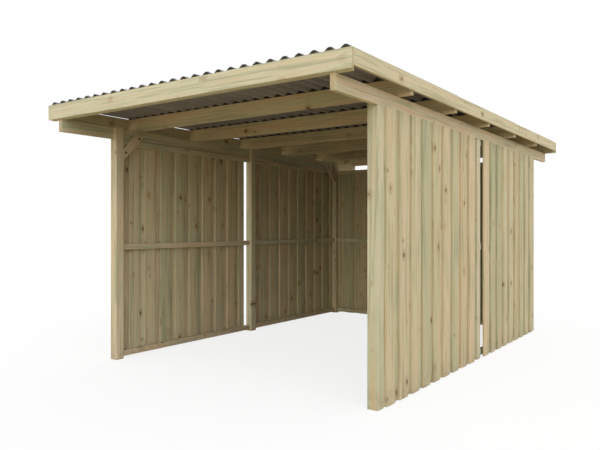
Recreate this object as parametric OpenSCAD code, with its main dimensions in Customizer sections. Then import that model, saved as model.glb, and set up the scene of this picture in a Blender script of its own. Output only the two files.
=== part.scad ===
// Timber carport: open front, boarded side and rear walls, corrugated roof.
// The origin is on the ground at the middle of the roof's outline.
// +Z is up, -Y is the open front and +X is the right-hand side seen from the front.

/* [Plan] */
// Width over the outer faces of the posts
carport_w = 3220; // [2400:10:4200]
// Clear length between the front and middle posts
front_bay = 2140; // [1400:10:3000]
// Clear length between the middle and rear posts
rear_bay = 2080; // [1400:10:3000]
// Clear height under the side beams
clear_h = 2358; // [1900:1:2900]

/* [Posts] */
// Side of the square posts
post = 95; // [90:1:150]

/* [Side beams] */
// Thickness of the side beams, housed in the outer side of the posts
beam_t = 45; // [36:1:60]
// Height of the side beams
beam_h = 120; // [95:1:220]

/* [Roof] */
// Roof overhang in front of the front posts and behind the rear posts
end_overhang = 640; // [300:10:900]
// Roof overhang outside the side posts
side_overhang = 145; // [80:5:300]
// Thickness of the purlins
purlin_t = 45; // [36:1:60]
// Height of the purlins
purlin_h = 145; // [120:1:220]
// Thickness of the fascia and barge boards
fascia_t = 22; // [16:1:28]
// Height of the front and rear fascia boards
fascia_h = 145; // [100:1:160]
// Height of the barge boards along the sides
barge_h = 120; // [80:1:145]
// How far the fascia and barge boards stand above the purlins
trim_lip = 6; // [0:1:10]

/* [Roof sheets] */
// Waves across the roof
waves = 27; // [20:1:34]
// Height of a wave, from trough to crest
wave_h = 36; // [15:1:60]
// Thickness of the sheets
sheet_t = 6; // [4:1:10]

/* [Wall boards] */
// Width of a wall board
board_w = 145; // [120:1:170]
// Thickness of a wall board
board_t = 21; // [15:1:28]
// Distance from one outer board to the next, before it is evened out in each panel
board_pitch = 234; // [200:1:250]
// Width of the inner board that shows beside a front or rear post, at a panel's start
front_strip = 15; // [5:1:60]
// Width of the inner board that shows beside a middle post, at a panel's end
end_strip = 70; // [30:5:90]
// Width of the inner board that shows in front of a rear post
rear_strip = 35; // [5:1:60]
// Height of the wall boards above the ground
board_lift = 10; // [0:1:60]
// Height of the side beams above the top of the rear wall
rear_drop = 20; // [0:5:200]
// Opening between the boards and the front of a middle post
gap_before_middle = 72; // [5:1:120]
// Opening between the boards and the back of a middle post
gap_behind_middle = 72; // [5:1:120]

/* [Rails] */
// Depth of the wall rails, from the boards inwards
rail_t = 45; // [28:1:60]
// Height of the wall rails
rail_h = 60; // [45:1:120]
// Height of the bottom rails above the ground
rail_lift = 20; // [0:1:100]
// Height of the middle rails' lower edge
middle_rail_z = 1170; // [800:5:1400]

/* [Knee braces] */
// Width of a knee brace
brace_w = 90; // [60:1:120]
// Thickness of a knee brace
brace_t = 45; // [22:1:48]
// Reach of a knee brace along the beam, from the post
brace_reach = 295; // [220:5:500]
// How far a knee brace laps up the inside of the beam
brace_lap = 65; // [30:1:90]

/* [Hidden] */

// Counts that go with the names above
purlins = 7;
sheets = 4;
// Straight pieces that draw one wave
wave_steps = 12;
// Reach of a cut beyond the faces it passes through
through = 1;

pine = "#b5ad8c";
pine_pink = "#bfa78c";
pine_shade = "#9a9270";
slate = "#4a4848";

// Plan: the posts stand at these places along Y, each given at its front face
frame_l = 3 * post + front_bay + rear_bay;
front_y = -frame_l / 2;
middle_y = front_y + post + front_bay;
rear_y = frame_l / 2 - post;
side_x = carport_w / 2;

// Heights
beam_top = clear_h + beam_h;
roof_z = beam_top + purlin_h;
rear_wall_h = clear_h - rear_drop;

// Roof outline
roof_w = carport_w + 2 * side_overhang;
roof_l = frame_l + 2 * end_overhang;
purlin_step = (roof_l - 2 * fascia_t - purlin_t) / (purlins - 1);
wave_pitch = roof_w / waves;

// Rear wall: two panels with a post between them
rear_bay_w = (carport_w - 3 * post) / 2;

// Height of the wave's underside at an angle, 0 in the trough
function wave_z(a) = wave_h / 2 * (1 - cos(a));
// The trough ends flat, on the purlins, half a step to each side of its middle
trough_z = wave_z(180 / wave_steps);
function wave_at(x) = max(0, wave_z(360 * x / wave_pitch) - trough_z);
// Points of the wave across the roof from x0 to x1
function wave_line(x0, x1, rise) = [
    for (x = concat(
        [x0],
        [for (i = [0 : waves * wave_steps - 1]) let (x = (i + 0.5) * wave_pitch / wave_steps)
            if (x > x0 + 1 && x < x1 - 1) x],
        [x1]))
        [x, wave_at(x) + rise]
];
function reversed(list) = [for (i = [len(list) - 1 : -1 : 0]) list[i]];
// First wave of sheet number n, counted from 0 on the left
function first_wave(n) = floor(n * waves / sheets);

// A block given by its low corner and its size
module block(at, size) {
    translate(at) cube(size);
}

// Copies a piece of the right-hand side to the left-hand side
module on_side(side) {
    if (side == "left") mirror([1, 0, 0]) children();
    else children();
}

// Side post of the right-hand side: the beam lies in a housing in its outer face
module side_post(y) {
    color(pine) difference() {
        block([side_x - post, y, 0], [post, post, beam_top]);
        block([side_x - beam_t, y - through, clear_h],
            [beam_t + through, post + 2 * through, beam_h + through]);
    }
}

module rear_post() {
    color(pine) block([-post / 2, rear_y, 0], [post, post, rear_wall_h]);
}

// Right-hand beam, between the backs of the two fascia boards
module beam() {
    length = roof_l - 2 * fascia_t;
    color(pine) block([side_x - beam_t, -length / 2, clear_h], [beam_t, length, beam_h]);
}

// Purlin number n, counted from 1 at the front
module purlin(n) {
    length = roof_w - 2 * fascia_t;
    y = -roof_l / 2 + fascia_t + (n - 1) * purlin_step;
    color(pine_shade) block([-length / 2, y, beam_top], [length, purlin_t, purlin_h]);
}

// Fascia board whose front face is at y
module fascia(y) {
    color(pine) block([-roof_w / 2, y, roof_z + trim_lip - fascia_h], [roof_w, fascia_t, fascia_h]);
}

// Right-hand barge board, between the two fascia boards
module barge_board() {
    length = roof_l - 2 * fascia_t;
    color(pine_pink)
        block([roof_w / 2 - fascia_t, -length / 2, roof_z + trim_lip - barge_h], [fascia_t, length, barge_h]);
}

// Corrugated sheet number n, counted from 1 on the left, inside the fascia and barge boards
module roof_sheet(n) {
    length = roof_l - 2 * fascia_t;
    x0 = max(first_wave(n - 1) * wave_pitch, fascia_t);
    x1 = min(first_wave(n) * wave_pitch, roof_w - fascia_t);
    outline = concat(wave_line(x0, x1, 0), reversed(wave_line(x0, x1, sheet_t)));
    color(slate) translate([-roof_w / 2, length / 2, roof_z])
        rotate([90, 0, 0]) linear_extrude(length) polygon(outline);
}

// Plan of one wall panel along +X from the origin, with the outside towards -Y.
// Outer boards stand on inner boards that close the spaces between them, and an
// inner board shows beyond the outer boards for the width first and the width last.
// A width of 0 leaves that inner board out: the outer board is then the panel's edge.
module board_plan(length, first, last) {
    spaces = max(1, round((length - first - last - board_w) / board_pitch));
    pitch = (length - first - last - board_w) / spaces;
    lap = board_w - pitch / 2;
    for (i = [0 : spaces])
        translate([first + i * pitch, -board_t]) square([board_w, board_t]);
    for (i = [0 : spaces - 1])
        translate([first + (i + 0.5) * pitch, 0]) square([board_w, board_t]);
    if (first > 0) square([first + lap, board_t]);
    if (last > 0) translate([length - last - lap, 0]) square([last + lap, board_t]);
}

module panel(length, height, first, last) {
    linear_extrude(height - board_lift) board_plan(length, first, last);
}

// Boards of a right-hand wall between y0 and y1, outer boards outside the posts' faces
module side_boards(y0, y1, first, last) {
    color(pine) translate([side_x, y0, board_lift])
        rotate([0, 0, 90]) panel(y1 - y0, clear_h, first, last);
}

// Boards of the right-hand half of the rear wall
module rear_boards() {
    color(pine) translate([side_x - post, frame_l / 2, board_lift])
        rotate([0, 0, 180]) panel(rear_bay_w, rear_wall_h, front_strip, end_strip);
}

// Heights of the lower edges of the three rails in a wall
function rail_heights(wall_h) = [rail_lift, middle_rail_z, wall_h - rail_h];

// Rails of a right-hand wall between the posts, with the knee brace's housing cut out
module side_rails(y0, y1, brace) {
    color(pine_shade) difference() {
        for (z = rail_heights(clear_h))
            block([side_x - board_t - rail_t, y0, z], [rail_t, y1 - y0, rail_h]);
        if (brace == "front") front_brace_body();
        if (brace == "rear") rear_brace_body();
    }
}

module rear_rails() {
    color(pine_shade)
        for (z = rail_heights(rear_wall_h))
            block([post / 2, frame_l / 2 - board_t - rail_t, z], [rear_bay_w, rail_t, rail_h]);
}

// Knee brace against the back of the right front post, flat on the beam's inner face
module front_brace_body() {
    top = clear_h + brace_lap;
    seat = brace_w * sqrt(2);
    translate([side_x - beam_t - brace_t, front_y + post, top])
        rotate([90, 0, 90]) linear_extrude(brace_t)
            polygon([[0, -brace_reach], [brace_reach, 0], [brace_reach - seat, 0], [0, seat - brace_reach]]);
}

// The same brace turned round, against the front of the right rear post
module rear_brace_body() {
    translate([0, rear_y + front_y + post, 0]) mirror([0, 1, 0]) front_brace_body();
}

module side_brace(end) {
    color(pine_pink) {
        if (end == "front") front_brace_body();
        if (end == "rear") rear_brace_body();
    }
}

for (side = ["left", "right"]) {
    on_side(side) side_post(front_y);
    on_side(side) side_post(middle_y);
    on_side(side) side_post(rear_y);
    on_side(side) beam();
    on_side(side) barge_board();
    on_side(side) side_boards(front_y + post, middle_y - gap_before_middle, front_strip, end_strip);
    on_side(side) side_boards(middle_y + post + gap_behind_middle, rear_y, 0, rear_strip);
    on_side(side) rear_boards();
    on_side(side) side_rails(front_y + post, middle_y, "front");
    on_side(side) side_rails(middle_y + post, rear_y, "rear");
    on_side(side) rear_rails();
    on_side(side) side_brace("front");
    on_side(side) side_brace("rear");
}
for (n = [1 : purlins])
    purlin(n);
for (n = [1 : sheets])
    roof_sheet(n);
rear_post();  // rear_middle_post
fascia(-roof_l / 2);  // front_fascia
fascia(roof_l / 2 - fascia_t);  // rear_fascia
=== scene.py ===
import math
import random

import bmesh
import bpy
from mathutils import Matrix, Vector


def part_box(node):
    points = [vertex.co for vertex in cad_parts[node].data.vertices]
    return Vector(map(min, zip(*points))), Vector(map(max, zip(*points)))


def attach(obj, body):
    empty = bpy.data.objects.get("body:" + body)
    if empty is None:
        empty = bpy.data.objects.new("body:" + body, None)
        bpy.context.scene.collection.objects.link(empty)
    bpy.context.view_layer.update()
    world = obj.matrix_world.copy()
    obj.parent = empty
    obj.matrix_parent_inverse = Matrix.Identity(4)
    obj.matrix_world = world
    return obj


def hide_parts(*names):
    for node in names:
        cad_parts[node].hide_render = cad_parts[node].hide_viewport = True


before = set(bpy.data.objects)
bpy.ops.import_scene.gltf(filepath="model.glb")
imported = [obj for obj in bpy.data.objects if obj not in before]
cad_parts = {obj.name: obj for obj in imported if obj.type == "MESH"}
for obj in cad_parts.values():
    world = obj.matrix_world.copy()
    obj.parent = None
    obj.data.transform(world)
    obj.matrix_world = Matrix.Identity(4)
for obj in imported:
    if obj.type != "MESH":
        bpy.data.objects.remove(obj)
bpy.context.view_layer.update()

# Stock sizes of the timber and sheets, in metres
BOARD_W = 0.145
BOARD_T = 0.021
BOARD_PITCH = 0.234
FRONT_STRIP = 0.015
END_STRIP = 0.070
REAR_STRIP = 0.035
ARRIS = 0.0025
RAIL_H = 0.060
MIDDLE_RAIL = 1.200
WAVES = 27
WAVE_H = 0.0350
SHEET_ROWS = 3
SHEET_LAP = 0.150
SHEET_T = 0.003

PURLINS = 7
SHEETS = 4
# Spacing of growth rings, and the cells along and across a board that may each hold a knot
RING_STEP = 0.0075
KNOT_ACROSS = 0.125
KNOT_ALONG = 0.180
# How far in from a board's edge its screws sit
SCREW_INSET = 0.028
# Reach of a sheet's side lap over the sheet to its left, and depth from front to back of the dark humps that
# paint shade into the wave gaps
SIDE_LAP = 0.032
GAP_SHADE_DEPTH = 0.030
# Pairs of screws along a fascia, the first this far from its end, and waves from one cap to the next
FASCIA_SCREWS = 7
FASCIA_INSET = 0.05
CAP_EVERY = 3
# Gap between the dark painted-shade humps and the wave above them
GAP_SHADE_PLAY = 0.0005

UP = Vector((0, 0, 1))
chance = random.Random(7)


# ---------------------------------------------------------------- node helpers
def pick(sockets, key):
    """The live socket with this name, or the one at this number."""
    if isinstance(key, int):
        return sockets[key]
    return [s for s in sockets if s.name == key and s.enabled][0]


def place(tree, kind, settings=None, inputs=None, out=0):
    """Adds a node, sets it up, links or fills its inputs, and returns one output."""
    node = tree.nodes.new(kind)
    for label, value in (settings or {}).items():
        setattr(node, label, value)
    for key, value in (inputs or {}).items():
        socket = pick(node.inputs, key)
        if isinstance(value, bpy.types.NodeSocket):
            tree.links.new(value, socket)
        else:
            socket.default_value = value
    return pick(node.outputs, out)


def new_tree(name, kind, inputs, outputs):
    """An empty node tree with named sockets, and its group input and output."""
    tree = bpy.data.node_groups.new(name, kind)
    for label, socket_type, value in inputs:
        socket = tree.interface.new_socket(label, in_out="INPUT", socket_type=socket_type)
        if value is not None:
            socket.default_value = value
    for label, socket_type in outputs:
        tree.interface.new_socket(label, in_out="OUTPUT", socket_type=socket_type)
    given = tree.nodes.new("NodeGroupInput").outputs
    result = tree.nodes.new("NodeGroupOutput").inputs
    return tree, given, result


def maths(tree, operation, a, b=0.0):
    return place(tree, "ShaderNodeMath", {"operation": operation}, {0: a, 1: b})


def vector_of(tree, x, y, z):
    return place(tree, "ShaderNodeCombineXYZ", None, {"X": x, "Y": y, "Z": z})


def stretched(tree, x, y, z, across, along):
    """A vector whose X and Y are scaled by one number and whose Z is scaled by another."""
    return vector_of(tree, maths(tree, "MULTIPLY", x, across), maths(tree, "MULTIPLY", y, across),
                     maths(tree, "MULTIPLY", z, along))


def parts_of(tree, vector):
    node = tree.nodes.new("ShaderNodeSeparateXYZ")
    tree.links.new(vector, node.inputs[0])
    return node.outputs[0], node.outputs[1], node.outputs[2]


def noise(tree, vector, scale, detail=2.0, roughness=0.5):
    return place(tree, "ShaderNodeTexNoise", None,
                 {"Vector": vector, "Scale": scale, "Detail": detail, "Roughness": roughness})


def remap(tree, value, low, high, to_low=0.0, to_high=1.0, smooth=True):
    how = "SMOOTHSTEP" if smooth else "LINEAR"
    return place(tree, "ShaderNodeMapRange", {"interpolation_type": how},
                 {"Value": value, "From Min": low, "From Max": high, "To Min": to_low, "To Max": to_high})


def blend(tree, factor, a, b, how="MIX"):
    """Mixes two colours."""
    return place(tree, "ShaderNodeMix", {"data_type": "RGBA", "blend_type": how}, {0: factor, 6: a, 7: b}, 2)


def paint(red, green, blue):
    """A colour given in 0 to 255 as it should look, for a shader socket."""
    def light(c):
        c /= 255
        return c / 12.92 if c <= 0.04045 else ((c + 0.055) / 1.055) ** 2.4
    return (light(red), light(green), light(blue), 1.0)


# ---------------------------------------------------------------- effects shared by materials
def make_pine_figure():
    """Growth rings, fibres, soft streaks and knots of one board, in the board's own metres."""
    tree, given, result = new_tree(
        "pine_figure", "ShaderNodeTree",
        [("Board", "NodeSocketVector", None), ("Tint", "NodeSocketFloat", 0.5),
         ("Knots", "NodeSocketFloat", 0.4)],
        [("Rings", "NodeSocketFloat"), ("Fibres", "NodeSocketFloat"), ("Streaks", "NodeSocketFloat"),
         ("Knot", "NodeSocketFloat"), ("Halo", "NodeSocketFloat"), ("Height", "NodeSocketFloat")])
    board, tint, knots = given["Board"], given["Tint"], given["Knots"]
    shift = vector_of(tree, maths(tree, "MULTIPLY", tint, 17.3), maths(tree, "MULTIPLY", tint, 9.1),
                      maths(tree, "MULTIPLY", tint, 43.7))
    own = place(tree, "ShaderNodeVectorMath", {"operation": "ADD"}, {0: board, 1: shift})
    x, y, z = parts_of(tree, own)
    bare_x, bare_y, _ = parts_of(tree, board)

    spots = vector_of(tree, maths(tree, "DIVIDE", x, KNOT_ACROSS), 0.0,
                      maths(tree, "DIVIDE", z, KNOT_ALONG))
    voronoi = tree.nodes.new("ShaderNodeTexVoronoi")
    voronoi.inputs["Scale"].default_value = 1.0
    tree.links.new(spots, voronoi.inputs["Vector"])
    cell = tree.nodes.new("ShaderNodeSeparateColor")
    tree.links.new(voronoi.outputs["Color"], cell.inputs[0])
    kept = maths(tree, "LESS_THAN", cell.outputs[0], knots)
    size = maths(tree, "ADD", maths(tree, "MULTIPLY", cell.outputs[1], 0.060), 0.045)
    away = maths(tree, "DIVIDE", voronoi.outputs["Distance"], size)
    knot = maths(tree, "MULTIPLY", remap(tree, away, 1.35, 0.75), kept)
    halo = maths(tree, "MULTIPLY", remap(tree, away, 4.2, 0.9), kept)

    wander = noise(tree, stretched(tree, x, y, z, 5.0, 0.8), 1.0, 2.0)
    lean = maths(tree, "MULTIPLY", maths(tree, "SUBTRACT", wander, 0.5), 0.10)
    across = maths(tree, "ADD", maths(tree, "ADD", bare_x, lean),
                   maths(tree, "MULTIPLY", maths(tree, "SUBTRACT", tint, 0.5), 0.12))
    deep = maths(tree, "ADD", bare_y, 0.045)
    radius = maths(tree, "SQRT", maths(tree, "ADD", maths(tree, "MULTIPLY", across, across),
                                       maths(tree, "MULTIPLY", deep, deep)))
    radius = maths(tree, "ADD", radius, maths(tree, "MULTIPLY", halo, 0.010))
    turn = maths(tree, "SINE", maths(tree, "MULTIPLY", radius, 2 * math.pi / RING_STEP))
    rings = remap(tree, turn, -0.6, 1.0)

    fibres = noise(tree, stretched(tree, x, y, z, 150.0, 5.0), 1.0, 3.0, 0.6)
    streaks = noise(tree, stretched(tree, x, y, z, 34.0, 1.1), 1.0, 3.0, 0.6)
    height = maths(tree, "ADD", maths(tree, "MULTIPLY", rings, -0.35), maths(tree, "MULTIPLY", fibres, 0.65))
    tree.links.new(rings, result["Rings"])
    tree.links.new(fibres, result["Fibres"])
    tree.links.new(remap(tree, streaks, 0.32, 0.68), result["Streaks"])
    tree.links.new(knot, result["Knot"])
    tree.links.new(halo, result["Halo"])
    tree.links.new(height, result["Height"])
    return tree


def make_weathering():
    """Treatment patches, seasoning checks and splashed dirt near the ground."""
    tree, given, result = new_tree(
        "weathering", "ShaderNodeTree",
        [("Board", "NodeSocketVector", None), ("Tint", "NodeSocketFloat", 0.5)],
        [("Patches", "NodeSocketFloat"), ("Checks", "NodeSocketFloat"), ("Splash", "NodeSocketFloat")])
    x, y, z = parts_of(tree, given["Board"])
    place_on = place(tree, "ShaderNodeTexCoord", None, None, "Object")
    along = maths(tree, "ADD", z, maths(tree, "MULTIPLY", given["Tint"], 31.0))
    patches = noise(tree, stretched(tree, x, y, along, 4.0, 1.3), 1.0, 2.0)
    lines = noise(tree, stretched(tree, x, y, along, 55.0, 1.7), 1.0, 1.0)
    near = remap(tree, maths(tree, "ABSOLUTE", maths(tree, "SUBTRACT", lines, 0.5)), 0.006, 0.0)
    scatter = noise(tree, stretched(tree, x, y, along, 1.0, 2.1), 1.0)
    some = remap(tree, scatter, 0.56, 0.64)
    _, _, height = parts_of(tree, place_on)
    spread = noise(tree, place_on, 14.0, 4.0, 0.65)
    splash = maths(tree, "MULTIPLY", remap(tree, height, 0.24, 0.0), remap(tree, spread, 0.35, 0.7))
    tree.links.new(remap(tree, patches, 0.42, 0.66), result["Patches"])
    tree.links.new(maths(tree, "MULTIPLY", near, some), result["Checks"])
    tree.links.new(splash, result["Splash"])
    return tree


pine_figure = make_pine_figure()
weathering = make_weathering()


def grouped(tree, group, inputs):
    """Places a shared group in a material and returns its outputs."""
    node = tree.nodes.new("ShaderNodeGroup")
    node.node_tree = group
    for label, value in inputs.items():
        if isinstance(value, bpy.types.NodeSocket):
            tree.links.new(value, node.inputs[label])
        else:
            node.inputs[label].default_value = value
    return node.outputs


def blank(name):
    """A new material with its node tree and its Principled shader."""
    material = bpy.data.materials.new(name)
    material.use_nodes = True
    tree = material.node_tree
    return material, tree, tree.nodes["Principled BSDF"]


def attribute(tree, label, out):
    """A named attribute of the piece's own mesh."""
    return place(tree, "ShaderNodeAttribute",
                 {"attribute_type": "GEOMETRY", "attribute_name": label}, None, out)


def pine(name, shades, green, warm, knots=0.4, patchy=0.5, checks=0.0):
    """Treated pine: shades runs over the tints of single boards, green and warm are its patches."""
    material, tree, shader = blank(name)
    board, tint = attribute(tree, "board", "Vector"), attribute(tree, "tint", "Fac")
    figure = grouped(tree, pine_figure, {"Board": board, "Tint": tint, "Knots": knots})
    wear = grouped(tree, weathering, {"Board": board, "Tint": tint})
    ramp = tree.nodes.new("ShaderNodeValToRGB")
    tree.links.new(tint, ramp.inputs[0])
    stops = ramp.color_ramp.elements
    while len(stops) < len(shades):
        stops.new(0.5)
    for i, shade in enumerate(shades):
        stops[i].position = i / (len(shades) - 1)
        stops[i].color = shade
    colour = blend(tree, maths(tree, "MULTIPLY", wear["Patches"], patchy), ramp.outputs[0], green)
    colour = blend(tree, remap(tree, figure["Streaks"], 0.50, 1.0, 0.0, 0.60), colour, warm)
    for mask, darker in (
            (remap(tree, figure["Streaks"], 0.50, 0.0, 0.0, 0.85), (0.72, 0.71, 0.66, 1)),
            (maths(tree, "MULTIPLY", figure["Rings"], 0.55), (0.80, 0.74, 0.65, 1)),
            (remap(tree, figure["Fibres"], 0.35, 0.75, 0.0, 0.5), (0.84, 0.80, 0.74, 1))):
        colour = blend(tree, mask, colour, darker, "MULTIPLY")
    for mask, share, shade in (
            (figure["Halo"], 0.42, paint(132, 96, 58)),
            (figure["Knot"], 0.88, paint(74, 48, 32)),
            (attribute(tree, "end_grain", "Fac"), 0.40, paint(150, 128, 92)),
            (wear["Checks"], checks, paint(60, 46, 34)),
            (wear["Splash"], 0.42, paint(128, 116, 96))):
        colour = blend(tree, maths(tree, "MULTIPLY", mask, share), colour, shade)
    tree.links.new(colour, shader.inputs["Base Color"])
    tree.links.new(remap(tree, figure["Rings"], 0.0, 1.0, 0.80, 0.66), shader.inputs["Roughness"])
    shader.inputs["Specular IOR Level"].default_value = 0.3
    bump = place(tree, "ShaderNodeBump", None,
                 {"Strength": 0.35, "Distance": 0.0012, "Height": figure["Height"]})
    tree.links.new(bump, shader.inputs["Normal"])
    return material


wall_pine = pine(
    "wall_pine",
    [paint(176, 180, 154), paint(204, 187, 163), paint(188, 188, 164), paint(198, 183, 158),
     paint(172, 176, 151), paint(195, 190, 166)],
    paint(170, 173, 146), paint(194, 170, 142), knots=0.58, patchy=0.5)
frame_pine = pine(
    "frame_pine",
    [paint(192, 194, 178), paint(203, 190, 170), paint(184, 192, 173)],
    paint(172, 181, 156), paint(200, 168, 136), knots=0.45, patchy=0.55, checks=0.8)
trim_pine = pine(
    "trim_pine",
    [paint(198, 199, 181), paint(194, 188, 164), paint(192, 196, 176)],
    paint(184, 191, 166), paint(200, 182, 156), knots=0.50, patchy=0.35)


def corrugated_grey():
    """Dark sheet, weathered outside and paler and dull underneath."""
    material, tree, shader = blank("corrugated_grey")
    place_on = place(tree, "ShaderNodeTexCoord", None, None, "Object")
    _, _, upward = parts_of(tree, place(tree, "ShaderNodeNewGeometry", None, None, "Normal"))
    outside = remap(tree, upward, -0.2, 0.2)
    cloud = noise(tree, place_on, 2.4, 4.0, 0.6)
    speck = noise(tree, place_on, 170.0, 3.0, 0.7)
    x, y, z = parts_of(tree, place_on)
    down_the_sheet = vector_of(tree, maths(tree, "MULTIPLY", x, 28.0), maths(tree, "MULTIPLY", y, 1.1), z)
    runs = noise(tree, down_the_sheet, 1.0, 3.0)
    top = blend(tree, remap(tree, cloud, 0.35, 0.7), paint(88, 89, 93), paint(108, 108, 111))
    top = blend(tree, remap(tree, runs, 0.5, 0.75, 0.0, 0.5), top, paint(126, 125, 122))
    below = blend(tree, remap(tree, cloud, 0.35, 0.7), paint(124, 122, 129), paint(144, 142, 149))
    colour = blend(tree, outside, below, top)
    colour = blend(tree, remap(tree, speck, 0.5, 0.8, 0.0, 0.35), colour, paint(40, 39, 40))
    sheet_tint = attribute(tree, "tint", "Fac")
    colour = blend(tree, maths(tree, "MULTIPLY", sheet_tint, 0.22), colour, paint(76, 75, 79))
    tree.links.new(colour, shader.inputs["Base Color"])
    tree.links.new(remap(tree, cloud, 0.3, 0.7, 0.62, 0.82), shader.inputs["Roughness"])
    shader.inputs["Specular IOR Level"].default_value = 0.3
    bump = place(tree, "ShaderNodeBump", None, {"Strength": 0.25, "Distance": 0.0008, "Height": speck})
    tree.links.new(bump, shader.inputs["Normal"])
    return material


def plated(name, clean, dull, metallic):
    """Metal or sealed fixing with a dull mottle."""
    material, tree, shader = blank(name)
    place_on = place(tree, "ShaderNodeTexCoord", None, None, "Object")
    mottle = noise(tree, place_on, 260.0, 3.0, 0.6)
    tree.links.new(blend(tree, remap(tree, mottle, 0.4, 0.7), clean, dull), shader.inputs["Base Color"])
    tree.links.new(remap(tree, mottle, 0.3, 0.7, 0.35, 0.6), shader.inputs["Roughness"])
    shader.inputs["Metallic"].default_value = metallic
    return material


roof_grey = corrugated_grey()
zinc = plated("zinc", paint(168, 166, 158), paint(120, 116, 108), 0.9)
bolt_steel = plated("bolt_steel", paint(92, 86, 78), paint(62, 56, 50), 0.8)
# Near-black colour of the humps that paint shade into the wave gaps over the purlins
gap_shade_dark = plated("gap_shade_dark", paint(34, 32, 32), paint(22, 21, 21), 0.0)
seal_cap = plated("seal_cap", paint(52, 52, 54), paint(38, 38, 40), 0.0)


# ---------------------------------------------------------------- trees that grow what repeats
def named_vector(tree, label):
    return place(tree, "GeometryNodeInputNamedAttribute", {"data_type": "FLOAT_VECTOR"}, {"Name": label})


def scattered_tint(tree, rows, seed):
    """Gives each instance its own tint from 0 to 1."""
    tint = place(tree, "FunctionNodeRandomValue", {"data_type": "FLOAT"}, {"Seed": seed}, "Value")
    return place(tree, "GeometryNodeStoreNamedAttribute", {"data_type": "FLOAT", "domain": "INSTANCE"},
                 {"Geometry": rows, "Name": "tint", "Value": tint})


def half_wave(tree, sign, x, pitch, height):
    """Height of the wave at x: sign SUBTRACT starts in a trough, ADD on a crest."""
    turn = maths(tree, "MULTIPLY", maths(tree, "DIVIDE", x, pitch), 2 * math.pi)
    swing = maths(tree, "COSINE", turn)
    return maths(tree, "MULTIPLY", maths(tree, sign, 1.0, swing), maths(tree, "MULTIPLY", height, 0.5))


def make_board_tree():
    """One eased board on each point, with its own tint and its own board coordinates."""
    tree, given, result = new_tree(
        "board_row", "GeometryNodeTree",
        [("Points", "NodeSocketGeometry", None), ("Width", "NodeSocketFloat", 0.1),
         ("Thickness", "NodeSocketFloat", 0.02), ("Height", "NodeSocketFloat", 1.0),
         ("Arris", "NodeSocketFloat", 0.002), ("Seed", "NodeSocketInt", 0),
         ("Finish", "NodeSocketMaterial", None)],
        [("Boards", "NodeSocketGeometry")])
    section = place(tree, "GeometryNodeCurvePrimitiveQuadrilateral", {"mode": "RECTANGLE"},
                    {"Width": given["Width"], "Height": given["Thickness"]})
    section = place(tree, "GeometryNodeFilletCurve", {"mode": "POLY"},
                    {"Curve": section, "Count": 2, "Radius": given["Arris"]})
    top = vector_of(tree, 0.0, 0.0, given["Height"])
    line = place(tree, "GeometryNodeCurvePrimitiveLine", {"mode": "POINTS"}, {"End": top})
    board = place(tree, "GeometryNodeCurveToMesh", None,
                  {"Curve": line, "Profile Curve": section, "Fill Caps": True})
    where = place(tree, "GeometryNodeInputPosition")
    board = place(tree, "GeometryNodeStoreNamedAttribute", {"data_type": "FLOAT_VECTOR", "domain": "POINT"},
                  {"Geometry": board, "Name": "board", "Value": where})
    stretch = named_vector(tree, "stretch")
    rows = place(tree, "GeometryNodeInstanceOnPoints", None,
                 {"Points": given["Points"], "Instance": board, "Scale": stretch})
    rows = scattered_tint(tree, rows, given["Seed"])
    rows = place(tree, "GeometryNodeRealizeInstances", None, {"Geometry": rows})
    _, _, upward = parts_of(tree, place(tree, "GeometryNodeInputNormal"))
    ends = maths(tree, "GREATER_THAN", maths(tree, "ABSOLUTE", upward), 0.9)
    rows = place(tree, "GeometryNodeStoreNamedAttribute", {"data_type": "FLOAT", "domain": "FACE"},
                 {"Geometry": rows, "Name": "end_grain", "Value": ends})
    rows = place(tree, "GeometryNodeSetShadeSmooth", None, {"Geometry": rows, "Shade Smooth": False})
    rows = place(tree, "GeometryNodeSetMaterial", None, {"Geometry": rows, "Material": given["Finish"]})
    tree.links.new(rows, result["Boards"])
    return tree


def make_fixing_tree():
    """A low domed head, with a washer under it, on each point, square to the point's facing."""
    tree, given, result = new_tree(
        "fixing_heads", "GeometryNodeTree",
        [("Points", "NodeSocketGeometry", None), ("Head", "NodeSocketFloat", 0.005),
         ("Rise", "NodeSocketFloat", 0.001), ("Washer", "NodeSocketFloat", 0.006),
         ("Washer height", "NodeSocketFloat", 0.001),
         ("Finish", "NodeSocketMaterial", None)],
        [("Heads", "NodeSocketGeometry")])
    dome = place(tree, "GeometryNodeMeshUVSphere", None,
                 {"Segments": 10, "Rings": 6, "Radius": given["Head"]})
    flat = vector_of(tree, 1.0, 1.0, maths(tree, "DIVIDE", given["Rise"], given["Head"]))
    dome = place(tree, "GeometryNodeTransform", None, {"Geometry": dome, "Scale": flat})
    dome = place(tree, "GeometryNodeSetShadeSmooth", None, {"Geometry": dome, "Shade Smooth": True})
    washer = place(tree, "GeometryNodeMeshCylinder", None,
                   {"Vertices": 14, "Radius": given["Washer"], "Depth": given["Washer height"]}, 0)
    washer = place(tree, "GeometryNodeSetShadeSmooth", None, {"Geometry": washer, "Shade Smooth": False})
    both = tree.nodes.new("GeometryNodeJoinGeometry")
    tree.links.new(dome, both.inputs[0])
    tree.links.new(washer, both.inputs[0])
    facing = named_vector(tree, "facing")
    turn = place(tree, "FunctionNodeAlignRotationToVector", {"axis": "Z"}, {"Vector": facing})
    heads = place(tree, "GeometryNodeInstanceOnPoints", None,
                  {"Points": given["Points"], "Instance": both.outputs[0], "Rotation": turn})
    heads = place(tree, "GeometryNodeRealizeInstances", None, {"Geometry": heads})
    heads = place(tree, "GeometryNodeSetMaterial", None, {"Geometry": heads, "Material": given["Finish"]})
    tree.links.new(heads, result["Heads"])
    return tree


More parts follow.
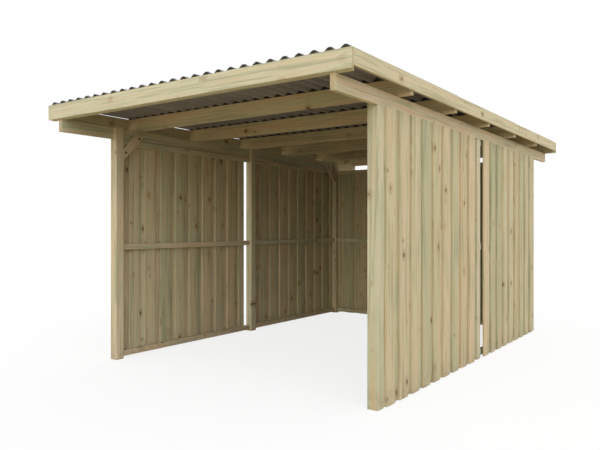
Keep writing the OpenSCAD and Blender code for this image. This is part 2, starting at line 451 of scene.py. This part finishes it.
def make_sheet_tree():
    """Rows of corrugated sheets, each row lying over the front end of the row behind it."""
    tree, given, result = new_tree(
        "corrugated_rows", "GeometryNodeTree",
        [("Points", "NodeSocketGeometry", None), ("Waves", "NodeSocketInt", 7),
         ("Wave pitch", "NodeSocketFloat", 0.13), ("Wave height", "NodeSocketFloat", 0.03),
         ("Thickness", "NodeSocketFloat", 0.003), ("Length", "NodeSocketFloat", 2.0),
         ("End rise", "NodeSocketFloat", 0.003), ("Side lap", "NodeSocketFloat", 0.0),
         ("Side rise", "NodeSocketFloat", 0.0), ("Left trim", "NodeSocketFloat", 0.0),
         ("Right trim", "NodeSocketFloat", 0.0), ("Seed", "NodeSocketInt", 0),
         ("Finish", "NodeSocketMaterial", None)],
        [("Sheets", "NodeSocketGeometry")])
    start = maths(tree, "SUBTRACT", given["Left trim"], given["Side lap"])
    full = maths(tree, "MULTIPLY", given["Waves"], given["Wave pitch"])
    stop = maths(tree, "SUBTRACT", full, given["Right trim"])
    span = maths(tree, "SUBTRACT", stop, start)
    across = maths(tree, "ADD", maths(tree, "MULTIPLY", given["Waves"], 20.0), 5.0)
    grid = place(tree, "GeometryNodeMeshGrid", None,
                 {"Size X": span, "Size Y": given["Length"], "Vertices X": across, "Vertices Y": 6}, 0)
    px, py, _ = parts_of(tree, place(tree, "GeometryNodeInputPosition"))
    x = maths(tree, "ADD", maths(tree, "ADD", px, maths(tree, "MULTIPLY", span, 0.5)), start)
    y = maths(tree, "ADD", py, maths(tree, "MULTIPLY", given["Length"], 0.5))
    wave = half_wave(tree, "SUBTRACT", x, given["Wave pitch"], given["Wave height"])
    side = maths(tree, "MULTIPLY", remap(tree, x, 0.045, 0.0), given["Side rise"])
    end = maths(tree, "MULTIPLY", maths(tree, "DIVIDE", y, given["Length"]), given["End rise"])
    shape = vector_of(tree, x, y, maths(tree, "ADD", wave, maths(tree, "ADD", side, end)))
    skin = place(tree, "GeometryNodeSetPosition", None, {"Geometry": grid, "Position": shape})
    under = place(tree, "GeometryNodeFlipFaces", None, {"Mesh": skin})
    over = place(tree, "GeometryNodeExtrudeMesh", {"mode": "FACES"},
                 {"Mesh": skin, "Offset": (0.0, 0.0, 1.0), "Offset Scale": given["Thickness"],
                  "Individual": False})
    both = tree.nodes.new("GeometryNodeJoinGeometry")
    tree.links.new(under, both.inputs[0])
    tree.links.new(over, both.inputs[0])
    sheet = place(tree, "GeometryNodeMergeByDistance", None,
                  {"Geometry": both.outputs[0], "Distance": 0.0001})
    rows = place(tree, "GeometryNodeInstanceOnPoints", None, {"Points": given["Points"], "Instance": sheet})
    rows = scattered_tint(tree, rows, given["Seed"])
    rows = place(tree, "GeometryNodeRealizeInstances", None, {"Geometry": rows})
    rows = place(tree, "GeometryNodeSetShadeSmooth", None, {"Geometry": rows, "Shade Smooth": True})
    fold = place(tree, "GeometryNodeInputMeshEdgeAngle", None, None, "Unsigned Angle")
    sharp = place(tree, "FunctionNodeCompare", {"data_type": "FLOAT", "operation": "GREATER_THAN"},
                  {"A": fold, "B": 0.7})
    rows = place(tree, "GeometryNodeSetShadeSmooth", {"domain": "EDGE"},
                 {"Geometry": rows, "Selection": sharp, "Shade Smooth": False})
    rows = place(tree, "GeometryNodeSetMaterial", None, {"Geometry": rows, "Material": given["Finish"]})
    tree.links.new(rows, result["Sheets"])
    return tree


def make_gap_shade_tree():
    """A near-black hump on each point, flat below and shaped to the wave above: painted shade in the wave
    gap.
    """
    tree, given, result = new_tree(
        "wave_gap_shades", "GeometryNodeTree",
        [("Points", "NodeSocketGeometry", None), ("Wave pitch", "NodeSocketFloat", 0.13),
         ("Wave height", "NodeSocketFloat", 0.03), ("Depth", "NodeSocketFloat", 0.03),
         ("Finish", "NodeSocketMaterial", None)],
        [("Gap shades", "NodeSocketGeometry")])
    wide = maths(tree, "MULTIPLY", given["Wave pitch"], 0.80)
    size = vector_of(tree, wide, given["Depth"], 1.0)
    block = place(tree, "GeometryNodeMeshCube", None,
                  {"Size": size, "Vertices X": 15, "Vertices Y": 2, "Vertices Z": 2})
    px, py, pz = parts_of(tree, place(tree, "GeometryNodeInputPosition"))
    wave = half_wave(tree, "ADD", px, given["Wave pitch"], given["Wave height"])
    top = maths(tree, "MULTIPLY", maths(tree, "GREATER_THAN", pz, 0.0), wave)
    hump = place(tree, "GeometryNodeSetPosition", None,
                 {"Geometry": block, "Position": vector_of(tree, px, py, top)})
    row = place(tree, "GeometryNodeInstanceOnPoints", None, {"Points": given["Points"], "Instance": hump})
    row = place(tree, "GeometryNodeRealizeInstances", None, {"Geometry": row})
    row = place(tree, "GeometryNodeSetShadeSmooth", None, {"Geometry": row, "Shade Smooth": False})
    row = place(tree, "GeometryNodeSetMaterial", None, {"Geometry": row, "Material": given["Finish"]})
    tree.links.new(row, result["Gap shades"])
    return tree


board_row = make_board_tree()
wave_gap_shades = make_gap_shade_tree()
fixing_heads = make_fixing_tree()
corrugated_rows = make_sheet_tree()


def point_mesh(places, label, vectors):
    """Loose points that carry one named vector each."""
    mesh = bpy.data.meshes.new("points")
    mesh.from_pydata([tuple(p) for p in places], [], [])
    layer = mesh.attributes.new(label, "FLOAT_VECTOR", "POINT")
    for i, vector in enumerate(vectors):
        layer.data[i].vector = vector
    return mesh


def grown(tree, source, values):
    """The plain mesh that a tree makes from its source points."""
    maker = bpy.data.objects.new("maker", source)
    bpy.context.scene.collection.objects.link(maker)
    modifier = maker.modifiers.new("grow", "NODES")
    modifier.node_group = tree
    sockets = {s.name: s.identifier for s in tree.interface.items_tree
               if s.item_type == "SOCKET" and s.in_out == "INPUT"}
    for label, value in values.items():
        modifier[sockets[label]] = value
    maker.update_tag()
    graph = bpy.context.evaluated_depsgraph_get()
    graph.update()
    mesh = bpy.data.meshes.new_from_object(
        maker.evaluated_get(graph), preserve_all_data_layers=True, depsgraph=graph)
    maker.modifiers.clear()
    bpy.data.objects.remove(maker)
    return mesh


def show(name, mesh, nodes=()):
    """Puts a finished mesh in the scene, riding on the one body."""
    piece = bpy.data.objects.new(name, mesh)
    mesh.name = name
    bpy.context.scene.collection.objects.link(piece)
    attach(piece, "root")
    if nodes:
        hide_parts(*nodes)
    return piece


# ---------------------------------------------------------------- planed timber
def islands(bm):
    """Lists of the faces that hang together, in the order of the mesh's own faces."""
    left, found = set(bm.faces), []
    for first in bm.faces:
        if first not in left:
            continue
        left.remove(first)
        stack, group = [first], []
        while stack:
            face = stack.pop()
            group.append(face)
            for edge in face.edges:
                for other in edge.link_faces:
                    if other in left:
                        left.remove(other)
                        stack.append(other)
        found.append(group)
    return found


def planed(node, along, finish, tint=None, ease=ARRIS):
    """A node's timber with eased arrises, and with board coordinates that run along its length."""
    bm = bmesh.new()
    bm.from_mesh(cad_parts[node].data)
    bmesh.ops.remove_doubles(bm, verts=bm.verts, dist=1e-5)
    bmesh.ops.dissolve_limit(bm, angle_limit=math.radians(1), verts=bm.verts, edges=bm.edges)
    bmesh.ops.bevel(bm, geom=bm.edges[:], offset=ease, segments=2, profile=0.5,
                    affect="EDGES", clamp_overlap=True)
    along = Vector(along).normalized()
    board_at = bm.verts.layers.float_vector.new("board")
    tint_at = bm.verts.layers.float.new("tint")
    end_at = bm.faces.layers.float.new("end_grain")
    for group in islands(bm):
        verts = list(dict.fromkeys(v for f in group for v in f.verts))
        sides = [Vector((1, 0, 0)), Vector((0, 1, 0)), Vector((0, 0, 1))]
        sides = [s - s.project(along) for s in sides]
        sides = [s.normalized() for s in sides if s.length > 0.5]
        reach = lambda s: max(v.co.dot(s) for v in verts) - min(v.co.dot(s) for v in verts)
        wide = max(sides, key=reach)
        thick = along.cross(wide)
        middle = sum((v.co for v in verts), Vector()) / len(verts)
        own_tint = chance.random() if tint is None else tint
        for v in verts:
            local = v.co - middle
            v[board_at] = Vector((local.dot(wide), local.dot(thick), local.dot(along)))
            v[tint_at] = own_tint
        for f in group:
            f[end_at] = 1.0 if abs(f.normal.dot(along)) > 0.9 else 0.0
    mesh = bpy.data.meshes.new(node)
    bm.to_mesh(mesh)
    bm.free()
    mesh.materials.append(finish)
    return show(node + "_planed", mesh, [node])


SIDES = ("left", "right")
for side in SIDES:
    for end in ("front", "middle", "rear"):
        planed(f"{side}_{end}_post", UP, frame_pine, ease=0.003)
    planed(f"{side}_beam", (0, 1, 0), frame_pine)
    planed(f"{side}_barge_board", (0, 1, 0), trim_pine, tint=0.5, ease=0.002)
    for end in ("front", "rear"):
        planed(f"{side}_{end}_rails", (0, 1, 0), frame_pine)
        rise = 1 if end == "front" else -1
        planed(f"{side}_{end}_brace", (0, rise, 1), frame_pine, tint=0.5)
    planed(f"rear_{side}_rails", (1, 0, 0), frame_pine)
planed("rear_middle_post", UP, frame_pine, ease=0.003)
for n in range(1, PURLINS + 1):
    planed(f"purlin_{n}", (1, 0, 0), frame_pine)
for end in ("front", "rear"):
    planed(f"{end}_fascia", (1, 0, 0), trim_pine, tint=0.08, ease=0.002)


# ---------------------------------------------------------------- wall boards
screws = []


def wall(node, along, out, first, last):
    """Board on board: outer boards over inner boards that close the spaces between them."""
    low, high = (Vector(c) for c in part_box(node))
    along, out = Vector(along), Vector(out)
    size = high - low
    length = abs(size.dot(along))
    middle = (low + high) / 2
    start = middle - along * length / 2
    start.z = low.z
    spaces = round((length - first - last - BOARD_W) / BOARD_PITCH)
    pitch = (length - first - last - BOARD_W) / spaces
    lap = BOARD_W - pitch / 2
    places, stretches = [], []
    for i in range(spaces + 1):
        places.append((first + i * pitch + BOARD_W / 2, BOARD_T / 2, 0))
        stretches.append((1, 1, 1))
    for i in range(spaces):
        places.append((first + (i + 0.5) * pitch + BOARD_W / 2, -BOARD_T / 2, 0))
        stretches.append((1, 1, 1))
    for edge, strip in (((first + lap) / 2, first), (length - (last + lap) / 2, last)):
        if strip > 0:
            places.append((edge, -BOARD_T / 2, 0))
            stretches.append(((strip + lap) / BOARD_W, 1, 1))
    mesh = grown(board_row, point_mesh(places, "stretch", stretches), {
        "Width": BOARD_W, "Thickness": BOARD_T, "Height": size.z, "Arris": ARRIS,
        "Seed": chance.randrange(1000), "Finish": wall_pine})
    matrix = Matrix((along, out, UP)).transposed().to_4x4()
    matrix.translation = start
    mesh.transform(matrix)
    if matrix.determinant() < 0:
        mesh.flip_normals()
    show(node + "_nailed", mesh, [node])

    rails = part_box(node.replace("boards", "rails"))
    heights = (rails[0][2] + RAIL_H / 2, MIDDLE_RAIL, rails[1][2] - RAIL_H / 2)
    for height in heights:
        up = height - low.z
        for i in range(spaces + 1):
            for inset in (SCREW_INSET, BOARD_W - SCREW_INSET):
                screws.append((matrix @ Vector((first + i * pitch + inset, BOARD_T, up)), out))
        for i in range(spaces):
            screws.append((matrix @ Vector((first + (i + 0.5) * pitch + BOARD_W / 2, 0, up)), out))
        screws.append((matrix @ Vector((length - last / 2, 0, up)), out))


for side, sign in (("left", -1), ("right", 1)):
    wall(f"{side}_front_boards", (0, 1, 0), (sign, 0, 0), FRONT_STRIP, END_STRIP)
    wall(f"{side}_rear_boards", (0, 1, 0), (sign, 0, 0), 0, REAR_STRIP)
    wall(f"rear_{side}_boards", (-sign, 0, 0), (0, 1, 0), FRONT_STRIP, END_STRIP)

# ---------------------------------------------------------------- roof sheets
roof_left, roof_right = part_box("front_fascia")[0][0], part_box("front_fascia")[1][0]
roof_low = Vector(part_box("roof_sheet_1")[0])
roof_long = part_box("roof_sheet_1")[1][1] - roof_low.y
pitch_x = (roof_right - roof_left) / WAVES
sheet_long = (roof_long + (SHEET_ROWS - 1) * SHEET_LAP) / SHEET_ROWS
row_step = sheet_long - SHEET_LAP
for n in range(1, SHEETS + 1):
    low, high = (Vector(c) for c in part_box(f"roof_sheet_{n}"))
    first_wave, last_wave = round((low.x - roof_left) / pitch_x), round((high.x - roof_left) / pitch_x)
    wave_x = roof_left + first_wave * pitch_x
    rows = [(0, row * row_step, 0) for row in range(SHEET_ROWS)]
    lapped = n > 1
    mesh = grown(corrugated_rows, point_mesh(rows, "facing", [UP] * SHEET_ROWS), {
        "Waves": last_wave - first_wave, "Wave pitch": pitch_x, "Wave height": WAVE_H,
        "Thickness": SHEET_T, "Length": sheet_long, "End rise": SHEET_T,
        "Side lap": SIDE_LAP if lapped else 0.0, "Side rise": SHEET_T if lapped else 0.0,
        "Left trim": low.x - wave_x, "Right trim": roof_left + last_wave * pitch_x - high.x,
        "Seed": 20 + n, "Finish": roof_grey})
    mesh.transform(Matrix.Translation((wave_x, low.y, roof_low.z)))
    show(f"roof_sheet_{n}_lapped", mesh, [f"roof_sheet_{n}"])


# ---------------------------------------------------------------- fixings
def fixings(name, places, head, rise, washer, washer_height, finish):
    """One piece of all the heads of a kind, each given by its place and the way it faces."""
    source = point_mesh([p for p, _ in places], "facing", [f for _, f in places])
    mesh = grown(fixing_heads, source, {
        "Head": head, "Rise": rise, "Washer": washer, "Washer height": washer_height, "Finish": finish})
    return show(name, mesh)


fixings("wall_screws", screws, head=0.0045, rise=0.0012, washer=0.0050, washer_height=0.0006, finish=zinc)

trim_screws, brace_bolts, roof_caps = [], [], []
purlin_y = []
for n in range(1, PURLINS + 1):
    low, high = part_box(f"purlin_{n}")
    purlin_y.append((low[1] + high[1]) / 2)
for sign, side in ((-1, "left"), (1, "right")):
    low, high = (Vector(c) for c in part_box(f"{side}_barge_board"))
    outer = high.x if sign > 0 else low.x
    for y in purlin_y:
        for part in (0.28, 0.72):
            trim_screws.append((Vector((outer, y, low.z + part * (high.z - low.z))), Vector((sign, 0, 0))))
    for end in ("front", "middle", "rear"):
        low, high = (Vector(c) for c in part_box(f"{side}_{end}_post"))
        outer = high.x if sign > 0 else low.x
        for dy, dz in ((0.028, 0.032), (0.067, 0.088)):
            trim_screws.append((Vector((outer, low.y + dy, high.z - dz)), Vector((sign, 0, 0))))
    for end in ("front", "rear"):
        low, high = (Vector(c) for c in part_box(f"{side}_{end}_brace"))
        inner = low.x if sign > 0 else high.x
        inset = 0.035
        foot_y, head_y = low.y + inset, high.y - 2.2 * inset
        if end == "rear":
            foot_y, head_y = high.y - inset, low.y + 2.2 * inset
        brace_bolts.append((Vector((inner, foot_y, low.z + 2.6 * inset)), Vector((-sign, 0, 0))))
        brace_bolts.append((Vector((inner, head_y, high.z - inset)), Vector((-sign, 0, 0))))
for end, sign in (("front", -1), ("rear", 1)):
    low, high = (Vector(c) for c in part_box(f"{end}_fascia"))
    face = low.y if sign < 0 else high.y
    run = high.x - low.x - 2 * FASCIA_INSET
    for i in range(FASCIA_SCREWS):
        x = low.x + FASCIA_INSET + i * run / (FASCIA_SCREWS - 1)
        for part in (0.25, 0.75):
            trim_screws.append((Vector((x, face, low.z + part * (high.z - low.z))), Vector((0, sign, 0))))
fixings("trim_screws", trim_screws, head=0.0042, rise=0.0010, washer=0.0045, washer_height=0.0005,
        finish=zinc)
fixings("brace_bolts", brace_bolts, head=0.010, rise=0.006, washer=0.014, washer_height=0.003,
        finish=bolt_steel)

for wave in range(1, WAVES, CAP_EVERY):
    for y in purlin_y:
        crest = roof_low.z + WAVE_H + SHEET_T
        roof_caps.append((Vector((roof_left + (wave + 0.5) * pitch_x, y, crest)), UP))
fixings("roof_caps", roof_caps, head=0.010, rise=0.0045, washer=0.013, washer_height=0.003,
        finish=seal_cap)

# Near-black humps fill the waves on top of the purlins, except under the fascia boards, as painted shade in
# the wave gaps
gap_shade_places = []
for y in purlin_y[1:-1]:
    for wave in range(WAVES):
        gap_shade_places.append(Vector((roof_left + (wave + 0.5) * pitch_x, y, roof_low.z)))
mesh = grown(wave_gap_shades, point_mesh(gap_shade_places, "facing", [UP] * len(gap_shade_places)), {
    "Wave pitch": pitch_x, "Wave height": WAVE_H - GAP_SHADE_PLAY, "Depth": GAP_SHADE_DEPTH, "Finish": gap_shade_dark})
show("wave_gap_shades", mesh)


# ---------------------------------------------------------------- floor, light and camera
# The light that the floor throws up is warm, and the floor itself is pale and partly glows
FLOOR_BOUNCE = (0.62, 0.49, 0.26, 1)
FLOOR_PALE = (0.92, 0.92, 0.92, 1)
FLOOR_GLOW = 0.82


def seen_plainly(tree):
    """1 where the eye, a reflection or a see-through ray meets the stage, and 0 for its light."""
    path = tree.nodes.new("ShaderNodeLightPath")
    through = maths(tree, "MAXIMUM", path.outputs["Is Glossy Ray"], path.outputs["Is Transmission Ray"])
    return maths(tree, "MAXIMUM", path.outputs["Is Camera Ray"], through)


def make_floor():
    mesh = bpy.data.meshes.new("floor")
    half = 60.0
    corners = [(-half, -half, 0), (half, -half, 0), (half, half, 0), (-half, half, 0)]
    mesh.from_pydata(corners, [], [(0, 1, 2, 3)])
    floor = bpy.data.objects.new("floor", mesh)
    bpy.context.scene.collection.objects.link(floor)
    material = bpy.data.materials.new("floor_white")
    material.use_nodes = True
    tree = material.node_tree
    tree.nodes.clear()
    seen = seen_plainly(tree)
    ground = blend(tree, seen, FLOOR_BOUNCE, FLOOR_PALE)
    matte = place(tree, "ShaderNodeBsdfDiffuse", None, {"Color": ground})
    glow = place(tree, "ShaderNodeEmission", None, {"Strength": 1.0})
    lit = place(tree, "ShaderNodeMixShader", None,
                {0: maths(tree, "MULTIPLY", seen, FLOOR_GLOW), 1: matte, 2: glow})
    out = tree.nodes.new("ShaderNodeOutputMaterial")
    tree.links.new(lit, out.inputs[0])
    mesh.materials.append(material)


def make_sky(strength):
    world = bpy.data.worlds.new("sky")
    bpy.context.scene.world = world
    world.use_nodes = True
    tree = world.node_tree
    tree.nodes.clear()
    seen = seen_plainly(tree)
    light = place(tree, "ShaderNodeBackground", None,
                  {"Color": (0.97, 0.985, 1.0, 1), "Strength": strength})
    white = place(tree, "ShaderNodeBackground", None, {"Color": (1, 1, 1, 1), "Strength": 1.0})
    both = place(tree, "ShaderNodeMixShader", None, {0: seen, 1: light, 2: white})
    out = tree.nodes.new("ShaderNodeOutputWorld")
    tree.links.new(both, out.inputs[0])


def make_sun(name, strength, aim, softness, colour):
    lamp = bpy.data.lights.new(name, "SUN")
    lamp.energy = strength
    lamp.angle = math.radians(softness)
    lamp.color = colour
    sun = bpy.data.objects.new(name, lamp)
    sun.rotation_euler = Vector(aim).to_track_quat("-Z", "Y").to_euler()
    bpy.context.scene.collection.objects.link(sun)


def make_camera():
    camera = bpy.data.objects.new("camera", bpy.data.cameras.new("camera"))
    camera.location = (3.834, -6.432, 1.418)
    camera.rotation_euler = (math.radians(90), 0, math.radians(35.29))
    camera.data.lens = 36.69
    camera.data.sensor_width = 36.0
    camera.data.shift_y = 0.003
    camera.data.clip_end = 200
    bpy.context.scene.collection.objects.link(camera)
    bpy.context.scene.camera = camera


make_floor()
make_sky(0.92)
make_sun("high_sun", 1.32, (-0.72, 0.45, -0.50), 60, (1.0, 0.985, 0.95))
make_sun("low_sun", 0.85, (-0.30, 0.92, -0.16), 35, (1.0, 0.89, 0.60))
make_camera()
bpy.context.scene.view_settings.view_transform = "Standard"
